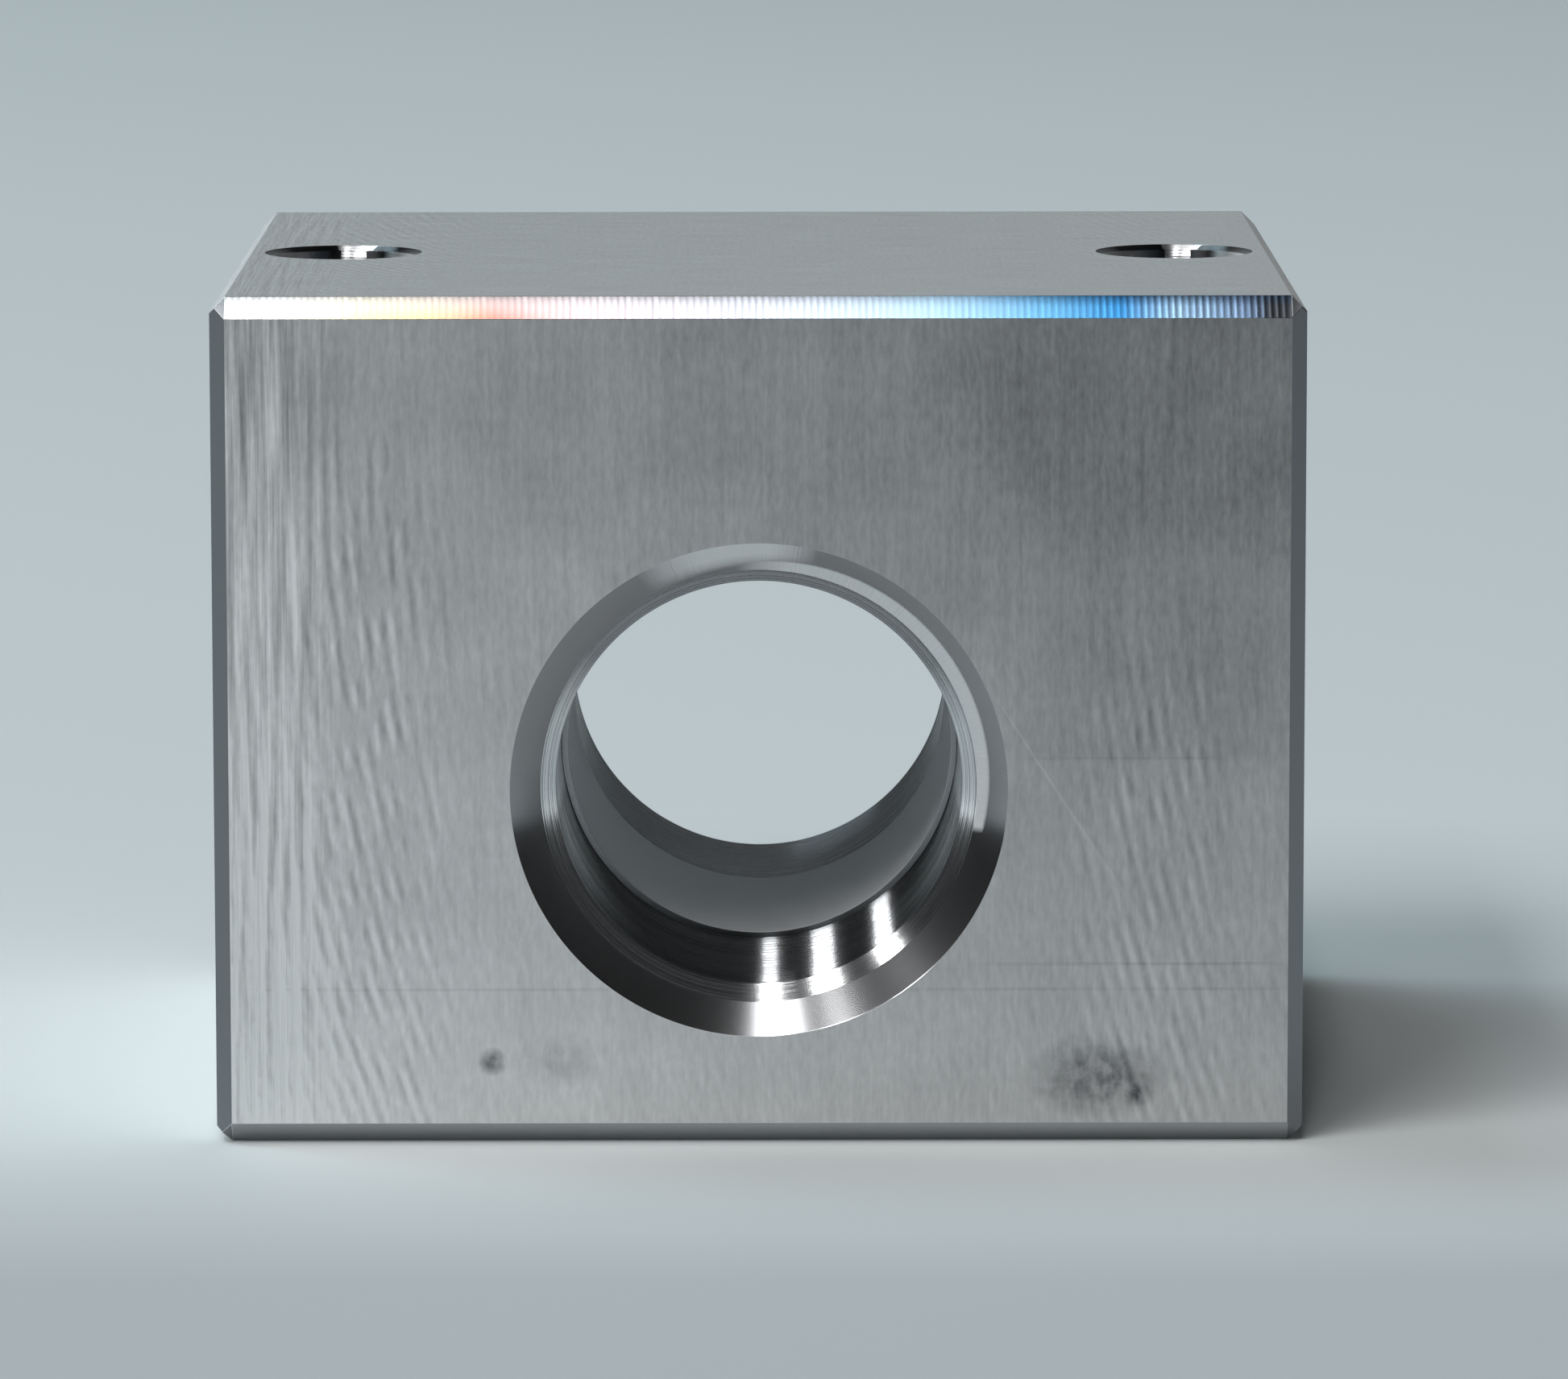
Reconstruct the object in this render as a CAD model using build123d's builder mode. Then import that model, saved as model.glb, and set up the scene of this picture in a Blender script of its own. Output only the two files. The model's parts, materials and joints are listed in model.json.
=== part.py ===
"""Machined mounting block, cut from one piece of aluminium (millimetres, +Z up).

The origin is the middle of the foot, on the surface that the block stands on. The bore runs along Y,
from the front face at -Y to the back face at +Y. A bolt hole runs straight down on each side of it.
"""
import os

from build123d import *

# Block
block_width = 64.0
block_depth = 60.0
block_height = 50.0

# Edges broken at 45 degrees: the long ones along X, and the upright and fore-and-aft ones
long_edge_chamfer = 1.2
short_edge_chamfer = 0.9

# Bore: a bush seat from each end, and the narrower land that stops the two bushes
bore_axis_height = 21.0
seat_diameter = 24.0
seat_depth = 19.5
land_diameter = 23.2

# Mouth of a seat: a 45 degree chamfer, then a slimmer lead-in that starts the bush straight
mouth_chamfer = 1.75
lead_in_width = 0.85
lead_in_length = 1.5

# Bolt holes, half way back, each with its axis this far in from its side face
bolt_hole_diameter = 9.0
bolt_hole_inset = 6.5
bolt_hole_chamfer = 0.3


def broken_rectangle(width, height, corner_chamfer):
    """Draw one view of the block: a rectangle with its four corners broken at 45 degrees."""
    rectangle = Rectangle(width, height)
    chamfer(rectangle.vertices(), length=corner_chamfer)


with BuildPart() as mounting_block:
    # The stock, as the common body of its plan, front and side views
    centre = (0, 0, block_height / 2)
    with BuildSketch(Plane.XY):
        broken_rectangle(block_width, block_depth, short_edge_chamfer)
    extrude(amount=block_height)
    with BuildSketch(Plane.XZ.shift_origin(centre)):
        broken_rectangle(block_width, block_height, short_edge_chamfer)
    extrude(amount=block_depth, both=True, mode=Mode.INTERSECT)
    with BuildSketch(Plane.YZ.shift_origin(centre)):
        broken_rectangle(block_depth, block_height, long_edge_chamfer)
    extrude(amount=block_width, both=True, mode=Mode.INTERSECT)

    # The bore, turned from one section that is the same towards both faces: along the sketch,
    # X is the distance from the middle of the block and Y the radius
    face = block_depth / 2
    shoulder = face - seat_depth
    lead_in_start = face - mouth_chamfer
    land_radius = land_diameter / 2
    seat_radius = seat_diameter / 2
    lead_in_radius = seat_radius + lead_in_width
    bore_plane = Plane.YZ.shift_origin((0, 0, bore_axis_height))
    with BuildSketch(bore_plane):
        with BuildLine():
            Polyline(
                (0, 0),
                (0, land_radius),
                (shoulder, land_radius),
                (shoulder, seat_radius),
                (lead_in_start - lead_in_length, seat_radius),
                (lead_in_start, lead_in_radius),
                (face, lead_in_radius + mouth_chamfer),
                (face, 0),
                close=True,
            )
        make_face()
        mirror(about=Plane.YZ)
    revolve(axis=Axis(bore_plane.origin, bore_plane.x_dir), mode=Mode.SUBTRACT)

    # The bolt holes, through from top to foot, with both ends broken
    bolt_hole_spacing = block_width - 2 * bolt_hole_inset
    with Locations((0, 0, block_height)):
        with GridLocations(bolt_hole_spacing, 0, 2, 1):
            Hole(bolt_hole_diameter / 2)
    chamfer(edges(Select.LAST).filter_by(GeomType.CIRCLE), length=bolt_hole_chamfer)

mounting_block.part.label = "mounting_block"
os.makedirs("parts", exist_ok=True)
export_step(mounting_block.part, "parts/mounting_block.step")
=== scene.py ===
"""Looks of the machined mounting block: the block, the floor it stands on, its light and its camera."""
import json
import math

import bmesh
import bpy
import numpy as np
from mathutils import Matrix, Vector


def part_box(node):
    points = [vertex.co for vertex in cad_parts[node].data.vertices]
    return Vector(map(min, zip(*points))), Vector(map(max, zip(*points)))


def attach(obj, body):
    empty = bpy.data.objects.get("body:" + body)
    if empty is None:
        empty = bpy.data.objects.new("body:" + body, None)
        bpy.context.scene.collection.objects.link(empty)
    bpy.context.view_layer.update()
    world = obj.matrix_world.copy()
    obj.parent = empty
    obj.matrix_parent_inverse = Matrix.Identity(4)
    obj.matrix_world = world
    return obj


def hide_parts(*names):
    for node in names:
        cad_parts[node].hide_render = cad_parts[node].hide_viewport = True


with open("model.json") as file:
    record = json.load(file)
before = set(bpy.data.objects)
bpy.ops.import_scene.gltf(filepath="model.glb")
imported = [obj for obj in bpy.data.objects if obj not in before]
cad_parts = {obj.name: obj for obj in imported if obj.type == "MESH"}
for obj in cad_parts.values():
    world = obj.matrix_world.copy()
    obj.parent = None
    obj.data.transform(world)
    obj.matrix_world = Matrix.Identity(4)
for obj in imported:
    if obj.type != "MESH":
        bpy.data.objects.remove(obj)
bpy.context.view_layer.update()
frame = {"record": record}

# ---------------------------------------------------------------------------------------------
# The stock. A rectangle of aluminium bar, milled square on all six sides with a face mill. Its long
# edges are broken at 45 degrees by a chamfer mill and its end edges by hand, and the corners that
# are left are deburred to a hair-thin round, which is what catches the light along them.

MM = 0.001
BLOCK = "mounting_block"
low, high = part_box(BLOCK)
width, depth, height = high - low
middle = (low + high) / 2
half_width = width / 2
face_y = depth / 2

long_edge_chamfer = 1.2 * MM
end_edge_chamfer = 0.9 * MM
deburred_radius = 0.07 * MM
arc_step = math.radians(15)

MILLED, CHAMFERED, DEBURRED = range(3)


def eased(corners, radius, closed=False):
    """Round the corners of a polyline, in 2-D. A short side lets its corners have only a smaller radius."""
    share_of_side = 0.4
    rounding = 0.01
    count = len(corners)
    corners = [Vector(corner) for corner in corners]
    points = []
    for i, corner in enumerate(corners):
        if not closed and i in (0, count - 1):
            points.append(corner)
            continue
        back = corners[i - 1] - corner
        ahead = corners[(i + 1) % count] - corner
        room = share_of_side * min(back.length, ahead.length)
        back.normalize()
        ahead.normalize()
        turn = math.pi - back.angle(ahead)
        tangent = min(radius * math.tan(turn / 2), room)
        start = corner + back * tangent
        centre = corner + (back + ahead).normalized() * tangent / math.sin(turn / 2)
        side = math.copysign(turn, back.cross(ahead))
        steps = math.ceil(turn / arc_step - rounding)
        for k in range(steps + 1):
            spoke = Matrix.Rotation(-side * k / steps, 2) @ (start - centre)
            points.append(centre + spoke)
    return points


def cross_section(inset):
    """One slice of the stock across X, in from its sides by inset, as (y, z) points."""
    half_y = depth / 2 - inset
    half_z = height / 2 - inset
    leg = max(long_edge_chamfer - 2 * inset, deburred_radius)
    quarter = [(half_y, half_z - leg), (half_y - leg, half_z)]
    corners = []
    for y_side, z_side in ((1, 1), (-1, 1), (-1, -1), (1, -1)):
        pair = [(y * y_side, z * z_side) for y, z in quarter]
        corners += pair if y_side * z_side > 0 else pair[::-1]
    return eased(corners, deburred_radius, closed=True)


# Slices along X: down the chamfers to each end face, and close together between them, where the
# chamfer mill left a rib for every 0.4 mm that it was fed along the long edges
end_corners = [(0, 0), (half_width - end_edge_chamfer, 0)]
end_corners += [(half_width, end_edge_chamfer), (half_width, 2 * end_edge_chamfer)]
end_slope = eased(end_corners, deburred_radius)[1:-1]
vanishing = (long_edge_chamfer - deburred_radius) / 2
end_slope.append(Vector((half_width - end_edge_chamfer + vanishing, vanishing)))
end_slope.sort(key=lambda slice_: (slice_.x, slice_.y))
ribbed = end_slope[0].x
feed_per_tooth = 0.4 * MM
rib_count = round(2 * ribbed / feed_per_tooth)
slices_per_rib = 6
rib_slices = np.linspace(-ribbed, ribbed, rib_count * slices_per_rib + 1)
slices = [(-s.x, s.y) for s in reversed(end_slope)]
slices += [(x, 0.0) for x in rib_slices[1:-1]]
slices += [(s.x, s.y) for s in end_slope]

# Each slice becomes a ring. The layer called rib is 1 over a chamfer and falls to 0 at the flats
stock = bmesh.new()
rib_layer = stock.verts.layers.float.new("rib")
rings = []
for x, inset in slices:
    section = cross_section(inset)
    rings.append([stock.verts.new((x, y, middle.z + z)) for y, z in section])
ring_size = len(rings[0])
per_corner = ring_size // 4
arc_points = per_corner // 2
for ring, (x, inset) in zip(rings, slices):
    for i, vert in enumerate(ring):
        from_start = i % per_corner
        from_flat = min(from_start, per_corner - 1 - from_start)
        vert[rib_layer] = from_flat / (arc_points - 1) if inset == 0 else 0.0
first_rib = len(end_slope) - 1
last_rib = len(rings) - len(end_slope)
for i, (ring, following) in enumerate(zip(rings, rings[1:])):
    for j in range(ring_size):
        is_flat = j % per_corner == per_corner - 1
        if is_flat and first_rib <= i < last_rib:
            continue
        k = (j + 1) % ring_size
        face = stock.faces.new((ring[j], following[j], following[k], ring[k]))
        face.material_index = CHAMFERED if first_rib <= i < last_rib else DEBURRED
for corner in range(4):
    j = corner * per_corner + per_corner - 1
    k = (j + 1) % ring_size
    near_edge = [rings[i][j] for i in range(first_rib, last_rib + 1)]
    far_edge = [rings[i][k] for i in range(last_rib, first_rib - 1, -1)]
    stock.faces.new(near_edge + far_edge).material_index = MILLED
stock.faces.new(rings[0]).material_index = MILLED
stock.faces.new(rings[-1]).material_index = MILLED
bmesh.ops.recalc_face_normals(stock, faces=stock.faces)

# The end edges along the top and the foot are as matt as the flats. The left end's corners there take
# the flats' paler finish too, as a painted highlight, while the right end's keep the darker deburred one
tilted = 0.3
for face in stock.faces:
    n = face.normal
    is_matt_or_painted_highlight = abs(n.z) > tilted and (abs(n.y) < tilted or n.x < 0)
    if face.material_index == DEBURRED and is_matt_or_painted_highlight:
        face.material_index = MILLED

# The map called lay: each face's own flat coordinates, in metres, for the marks that the tools left
lay = stock.loops.layers.uv.new("lay")
end_tilt = 0.5
tie = 0.01
for face in stock.faces:
    n = face.normal
    for loop in face.loops:
        p = loop.vert.co
        if abs(n.x) > end_tilt and abs(n.x) >= max(abs(n.y), abs(n.z)) - tie:
            loop[lay].uv = (p.y, p.z)
        elif abs(n.y) >= abs(n.z) - tie:
            loop[lay].uv = (p.x, p.z)
        else:
            loop[lay].uv = (p.x, p.y)
stock_mesh = bpy.data.meshes.new("stock")
stock.to_mesh(stock_mesh)
stock.free()
block = bpy.data.objects.new("milled_block", stock_mesh)
bpy.context.scene.collection.objects.link(block)

# ---------------------------------------------------------------------------------------------
# The milled flats. The bare metal of the six sides, as the face mill left it: its teeth drew faint
# arcs across each face, which come and go, over a fine satin grain. The front also has painted
# shade, darker towards its top and its right, painted light low on its left edge, and some oil stains
# and score lines.


def add(tree, kind, inputs=None, **settings):
    """Add a node. Its settings are properties, and its inputs are values or the sockets that feed them."""
    node = tree.nodes.new(kind)
    for name, value in settings.items():
        setattr(node, name, value)
    for name, value in (inputs or {}).items():
        if isinstance(value, bpy.types.NodeSocket):
            tree.links.new(value, node.inputs[name])
        else:
            node.inputs[name].default_value = value
    return node


# Map Range takes its value at 0, the range it comes from at 1 and 2, and the range it goes to at 3 and 4,
# which is 0 to 1 where none is given. Mix takes its share at 0 and its colours at 6 and 7, and gives
# the mixed colour at output 2.


def hex_colour(code):
    """A colour from its sRGB hex code, as linear red, green, blue and alpha."""
    channels = [int(code[i:i + 2], 16) / 255 for i in (1, 3, 5)]
    linear = [c / 12.92 if c <= 0.04045 else ((c + 0.055) / 1.055) ** 2.4 for c in channels]
    return (*linear, 1.0)


def bare_aluminium(name, inputs):
    """A material of bare metal, whose highlights stretch along U of the surface's own map, lay."""
    material = bpy.data.materials.new(name)
    material.use_nodes = True
    tree = material.node_tree
    tree.nodes.clear()
    stretch = add(tree, "ShaderNodeTangent", direction_type="UV_MAP", uv_map="lay").outputs[0]
    shader = add(tree, "ShaderNodeBsdfPrincipled", {"Tangent": stretch, **inputs})
    add(tree, "ShaderNodeOutputMaterial", {"Surface": shader.outputs[0]})
    return material, shader


def away_from(tree, position, middle_x, middle_z, half_x, half_z):
    """The way from a spot on the front to a point, and its length, in the spot's half widths and heights."""
    centred = add(tree, "ShaderNodeMapping", {
        "Vector": position,
        "Location": (middle_x, 0.0, middle_z),
        "Scale": (half_x, 1.0, half_z),
    }, vector_type="TEXTURE").outputs[0]
    in_face = {0: centred, 1: (1.0, 0.0, 1.0)}
    flat = add(tree, "ShaderNodeVectorMath", in_face, operation="MULTIPLY").outputs[0]
    return flat, add(tree, "ShaderNodeVectorMath", {0: flat}, operation="LENGTH").outputs["Value"]


# Face-milled aluminium: a soft grey sheen and no mirror, since the fine marks scatter what it reflects
milled, milled_shader = bare_aluminium("face_milled_aluminium", {"Metallic": 1.0, "Anisotropic": 0.3})
tree = milled.node_tree
lay_map = add(tree, "ShaderNodeUVMap", uv_map="lay").outputs[0]
across, along = add(tree, "ShaderNodeSeparateXYZ", {0: lay_map}).outputs[:2]

# The arcs: circles of the mill's radius about a centre that was fed across the face, and that strayed
mill_radius = 125 * MM
mill_path_height = 45 * MM
arc_pitch = 0.92 * MM
arc_depth = 0.019 * MM
stray = 0.3 * MM
stray_length = 7 * MM
from_path = add(tree, "ShaderNodeMath", {0: along, 1: mill_path_height}, operation="SUBTRACT").outputs[0]
squared = add(tree, "ShaderNodeMath", {0: from_path, 1: from_path}, operation="MULTIPLY").outputs[0]
chord = add(tree, "ShaderNodeMath", {0: mill_radius ** 2, 1: squared}, operation="SUBTRACT").outputs[0]
mill_reach = add(tree, "ShaderNodeMath", {0: chord}, operation="SQRT").outputs[0]
swept = add(tree, "ShaderNodeMath", {0: across, 1: mill_reach}, operation="ADD").outputs[0]
wander_scale = {"Vector": lay_map, "Scale": 1 / stray_length, "Detail": 1.0}
wander = add(tree, "ShaderNodeTexNoise", wander_scale).outputs[0]
strayed = add(tree, "ShaderNodeMath", {0: wander, 1: stray, 2: swept}, operation="MULTIPLY_ADD").outputs[0]
arc_turns = {0: strayed, 1: 2 * math.pi / arc_pitch}
arc_angle = add(tree, "ShaderNodeMath", arc_turns, operation="MULTIPLY").outputs[0]
arcs = add(tree, "ShaderNodeMath", {0: arc_angle}, operation="SINE").outputs[0]

# They show in tall patches, in a band down each side of the face, and fade towards its top
patch_width = 1.1 * MM
tall = {0: lay_map, 1: (1.0, 0.42, 1.0)}
tall_lay = add(tree, "ShaderNodeVectorMath", tall, operation="MULTIPLY").outputs[0]
patch_scale = {"Vector": tall_lay, "Scale": 1 / patch_width, "Detail": 2.0}
patches = add(tree, "ShaderNodeTexNoise", patch_scale).outputs[0]
patchy = add(tree, "ShaderNodeMapRange", {0: patches, 1: 0.4, 2: 0.65}).outputs[0]
from_middle = add(tree, "ShaderNodeMath", {0: across}, operation="ABSOLUTE").outputs[0]
band_edge = {0: from_middle, 1: 17.5 * MM, 2: 21.5 * MM, 3: 0.15, 4: 1.0}
band = add(tree, "ShaderNodeMapRange", band_edge).outputs[0]
face_edge = {0: from_middle, 1: 25 * MM, 2: 28 * MM, 3: 1.0, 4: 0.3}
edge_fade = add(tree, "ShaderNodeMapRange", face_edge).outputs[0]
right_half = add(tree, "ShaderNodeMapRange", {0: across, 1: -2 * MM, 2: 2 * MM}).outputs[0]
lower_on_right = {0: right_half, 1: 11 * MM, 2: along}
raised = add(tree, "ShaderNodeMath", lower_on_right, operation="MULTIPLY_ADD").outputs[0]
upper_end = {0: raised, 1: 44 * MM, 2: 35 * MM, 3: 0.15, 4: 1.0}
upper_fade = add(tree, "ShaderNodeMapRange", upper_end).outputs[0]
right_fade = add(tree, "ShaderNodeMapRange", {0: right_half, 3: 1.0, 4: 0.7}).outputs[0]
arc_strength = patchy
for fade in (upper_fade, right_fade, band, edge_fade):
    arc_strength = add(tree, "ShaderNodeMath", {0: arc_strength, 1: fade}, operation="MULTIPLY").outputs[0]
arc_height = add(tree, "ShaderNodeMath", {0: arcs, 1: arc_strength}, operation="MULTIPLY").outputs[0]
arc_relief = add(tree, "ShaderNodeMath", {0: arc_height, 1: arc_depth}, operation="MULTIPLY").outputs[0]

# The mill came in over the left edge, where its marks run nearly straight up
line_width = 0.5 * MM
line_depth = 0.034 * MM
very_tall = {0: lay_map, 1: (1.0, 0.04, 1.0)}
line_lay = add(tree, "ShaderNodeVectorMath", very_tall, operation="MULTIPLY").outputs[0]
line_scale = {"Vector": line_lay, "Scale": 1 / line_width, "Detail": 2.0}
lines = add(tree, "ShaderNodeTexNoise", line_scale).outputs[0]
left_edge = {0: across, 1: -24 * MM, 2: -28 * MM, 3: 0.12, 4: 1.0}
entry = add(tree, "ShaderNodeMapRange", left_edge).outputs[0]
level_lines = add(tree, "ShaderNodeMapRange", {0: lines, 1: 0.3, 2: 0.7, 3: -1.0, 4: 1.0}).outputs[0]
entry_lines = add(tree, "ShaderNodeMath", {0: level_lines, 1: entry}, operation="MULTIPLY").outputs[0]
line_relief = {0: entry_lines, 1: line_depth, 2: arc_relief}
marks = add(tree, "ShaderNodeMath", line_relief, operation="MULTIPLY_ADD").outputs[0]

# The satin between the marks. Its real grain is near 0.05 mm, and 0.25 mm is as coarse as it needs to show
grain_width = 0.25 * MM
grain_depth = 0.006 * MM
rather_tall = {0: lay_map, 1: (1.0, 0.28, 1.0)}
fine_lay = add(tree, "ShaderNodeVectorMath", rather_tall, operation="MULTIPLY").outputs[0]
grain_scale = {"Vector": fine_lay, "Scale": 1 / grain_width, "Detail": 3.0}
satin = add(tree, "ShaderNodeTexNoise", grain_scale).outputs[0]
satin_relief = {0: satin, 1: grain_depth, 2: marks}
relief = add(tree, "ShaderNodeMath", satin_relief, operation="MULTIPLY_ADD").outputs[0]
bump = add(tree, "ShaderNodeBump", {"Height": relief, "Distance": 1.0}).outputs[0]
tree.links.new(bump, milled_shader.inputs["Normal"])

# Each pass along the face left it a little smoother or rougher
pass_width = 0.6 * MM
wide = {0: lay_map, 1: (0.1, 1.0, 1.0)}
wide_lay = add(tree, "ShaderNodeVectorMath", wide, operation="MULTIPLY").outputs[0]
pass_scale = {"Vector": wide_lay, "Scale": 1 / pass_width, "Detail": 4.0}
passes = add(tree, "ShaderNodeTexNoise", pass_scale).outputs[0]
roughness = add(tree, "ShaderNodeMapRange", {0: passes, 1: 0.3, 2: 0.7, 3: 0.53, 4: 0.59}).outputs[0]
tree.links.new(roughness, milled_shader.inputs["Roughness"])

# The front's painted shade, as a sum of shares, which darkens its colour. It grows towards the top
# and the right, with soft clouds of random tone in it
position = add(tree, "ShaderNodeTexCoord").outputs["Object"]
x, y, z = add(tree, "ShaderNodeSeparateXYZ", {0: position}).outputs
on_front = add(tree, "ShaderNodeMath", {0: y, 1: -face_y + 0.1 * MM}, operation="LESS_THAN").outputs[0]
rising = add(tree, "ShaderNodeMapRange", {0: z, 1: 5 * MM, 2: 40 * MM, 3: 0.0, 4: 0.4}).outputs[0]
topmost = add(tree, "ShaderNodeMapRange", {0: z, 1: 32 * MM, 2: 46 * MM, 3: 0.0, 4: 0.03}).outputs[0]
higher = add(tree, "ShaderNodeMath", {0: rising, 1: topmost}, operation="ADD").outputs[0]
to_right = add(tree, "ShaderNodeMapRange", {0: x, 1: -28 * MM, 2: 20 * MM, 3: 0.0, 4: 0.305}).outputs[0]
gradual = add(tree, "ShaderNodeMath", {0: higher, 1: to_right}, operation="ADD").outputs[0]
# The mill's last two passes meet in a faint step of tone, right of the bore
upper_pass = add(tree, "ShaderNodeMapRange", {0: z, 1: 22.6 * MM, 2: 23.1 * MM, 3: 0.0, 4: 0.05}).outputs[0]
at_right = add(tree, "ShaderNodeMapRange", {0: x, 1: 10 * MM, 2: 17 * MM}).outputs[0]
step_tone = {0: upper_pass, 1: at_right, 2: gradual}
stepped = add(tree, "ShaderNodeMath", step_tone, operation="MULTIPLY_ADD").outputs[0]
cloud_width = 6 * MM
cloud_scale = {"Vector": position, "Scale": 1 / cloud_width, "Detail": 3.0}
clouds = add(tree, "ShaderNodeTexNoise", cloud_scale).outputs[0]
clouding = add(tree, "ShaderNodeMapRange", {0: clouds, 1: 0.3, 2: 0.7, 3: -0.05, 4: 0.05}).outputs[0]
clouded = add(tree, "ShaderNodeMath", {0: stepped, 1: clouding}, operation="ADD").outputs[0]
# The arcs and the entry lines are toned along their relief, partly oil held in the marks and partly
# painted shade and highlight on them. Painted light makes the lower left edge paler, fading upwards
arc_tone = {0: arc_height, 1: 0.26, 2: clouded}
arced = add(tree, "ShaderNodeMath", arc_tone, operation="MULTIPLY_ADD").outputs[0]
line_tone = {0: entry_lines, 1: 0.34, 2: arced}
lined = add(tree, "ShaderNodeMath", line_tone, operation="MULTIPLY_ADD").outputs[0]
low_down = add(tree, "ShaderNodeMapRange", {0: z, 1: 46 * MM, 2: 34 * MM, 3: 0.0, 4: -0.2}).outputs[0]
stains_and_painted_shade = add(tree, "ShaderNodeMath", {0: low_down, 1: entry, 2: lined}, operation="MULTIPLY_ADD").outputs[0]

# Oil stains, broken up by a speckle
speckle_width = 0.9 * MM
speckle_scale = {"Vector": position, "Scale": 1 / speckle_width, "Detail": 3.0}
speckle = add(tree, "ShaderNodeTexNoise", speckle_scale).outputs[0]
blotch = add(tree, "ShaderNodeMapRange", {0: speckle, 1: 0.36, 2: 0.58, 3: 0.45, 4: 1.0}).outputs[0]
# Each stain: its middle in x and z, half its width and height, all in mm, and how dark it is
stains = [(-15.7, 4.9, 0.95, 0.9, 0.7), (-11.7, 5.0, 3.0, 1.7, 0.2)]
stains += [(19.8, 4.0, 4.4, 2.7, 0.5), (22.3, 2.9, 0.9, 0.8, 0.4)]
for stain_x, stain_z, half_x, half_z, darkness in stains:
    away = away_from(tree, position, stain_x * MM, stain_z * MM, half_x * MM, half_z * MM)[1]
    soft = add(tree, "ShaderNodeMapRange", {0: away, 1: 1.0, 2: 0.35, 3: 0.0, 4: darkness}).outputs[0]
    stains_and_painted_shade = add(tree, "ShaderNodeMath", {0: soft, 1: blotch, 2: stains_and_painted_shade}, operation="MULTIPLY_ADD").outputs[0]

# Score lines: each one's height, where it starts and ends in x, all in mm, and how dark it is
score_edge = 0.14 * MM
score_core = 0.05 * MM
score_lines = [(22.9, 14.5, 27.0, 0.08), (10.7, 12.0, 31.0, 0.14), (9.2, -31.0, 31.0, 0.12)]
broken = add(tree, "ShaderNodeMapRange", {0: passes, 1: 0.35, 2: 0.6, 3: 0.4, 4: 1.0}).outputs[0]
for score_z, start, end, darkness in score_lines:
    beside = add(tree, "ShaderNodeMath", {0: z, 1: score_z * MM}, operation="SUBTRACT").outputs[0]
    gap = add(tree, "ShaderNodeMath", {0: beside}, operation="ABSOLUTE").outputs[0]
    off_line = {0: gap, 1: score_edge, 2: score_core, 3: 0.0, 4: darkness}
    line = add(tree, "ShaderNodeMapRange", off_line).outputs[0]
    begun = add(tree, "ShaderNodeMapRange", {0: x, 1: start * MM, 2: (start + 4) * MM}).outputs[0]
    ended = add(tree, "ShaderNodeMapRange", {0: x, 1: (end - 1) * MM, 2: end * MM, 3: 1.0, 4: 0.0}).outputs[0]
    stretch = add(tree, "ShaderNodeMath", {0: begun, 1: ended}, operation="MULTIPLY").outputs[0]
    worn = add(tree, "ShaderNodeMath", {0: stretch, 1: broken}, operation="MULTIPLY").outputs[0]
    stains_and_painted_shade = add(tree, "ShaderNodeMath", {0: line, 1: worn, 2: stains_and_painted_shade}, operation="MULTIPLY_ADD").outputs[0]

grain = add(tree, "ShaderNodeMapRange", {0: satin, 1: 0.3, 2: 0.7, 3: -0.06, 4: 0.06}).outputs[0]
shaded = add(tree, "ShaderNodeMath", {0: stains_and_painted_shade, 1: on_front, 2: grain}, operation="MULTIPLY_ADD").outputs[0]
shade = add(tree, "ShaderNodeMapRange", {0: shaded, 1: -0.125, 2: 1.0}).outputs[0]
flat_tones = {0: shade, 6: hex_colour("#FFFFFF"), 7: hex_colour("#6A6C6E")}
flat_tone = add(tree, "ShaderNodeMix", flat_tones, data_type="RGBA").outputs[2]
tree.links.new(flat_tone, milled_shader.inputs["Base Color"])

# ---------------------------------------------------------------------------------------------
# The broken edges. The chamfer mill's teeth left a shallow scallop for each feed along the long
# edges, which Geometry Nodes cut into the stock. Tints painted along the front's top edge stand for
# coloured light in its highlight, with painted shade at its right end and along the top of its blue
# end. A hand deburring tool left the end edges and the rounds plain and smooth.

# Chamfer-milled aluminium: brighter and sharper than the flats, so that each rib catches the light
chamfered, chamfered_shader = bare_aluminium("chamfer_milled_aluminium", {"Metallic": 1.0, "Roughness": 0.22})
tree = chamfered.node_tree
edge_position = add(tree, "ShaderNodeTexCoord").outputs["Object"]
edge_x, edge_y, edge_z = add(tree, "ShaderNodeSeparateXYZ", {0: edge_position}).outputs
along_edge = add(tree, "ShaderNodeMapRange", {0: edge_x, 1: -half_width, 2: half_width}).outputs[0]
# The painted highlight's tints, the last one painted shade at the right end. Each tint: how far along
# the edge it lies, and its colour
tints = [(0.05, "#B4B6B8"), (0.14, "#B8AC84"), (0.20, "#B49A78"), (0.26, "#A87064"), (0.34, "#B8A4A8")]
tints += [(0.44, "#B6B2BE"), (0.54, "#B8C4D6"), (0.66, "#A8C8DE"), (0.76, "#70B2E0"), (0.83, "#4496D8")]
tints += [(0.88, "#9CC0E0"), (0.945, "#8098B8"), (0.965, "#4A4D52")]
rainbow = add(tree, "ShaderNodeValToRGB", {0: along_edge})
stops = rainbow.color_ramp.elements
for stop, (tint_place, tint_colour) in ((stops[0], tints[0]), (stops[1], tints[-1])):
    stop.position = tint_place
    stop.color = hex_colour(tint_colour)
for tint_place, tint_colour in tints[1:-1]:
    stops.new(tint_place).color = hex_colour(tint_colour)
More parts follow.
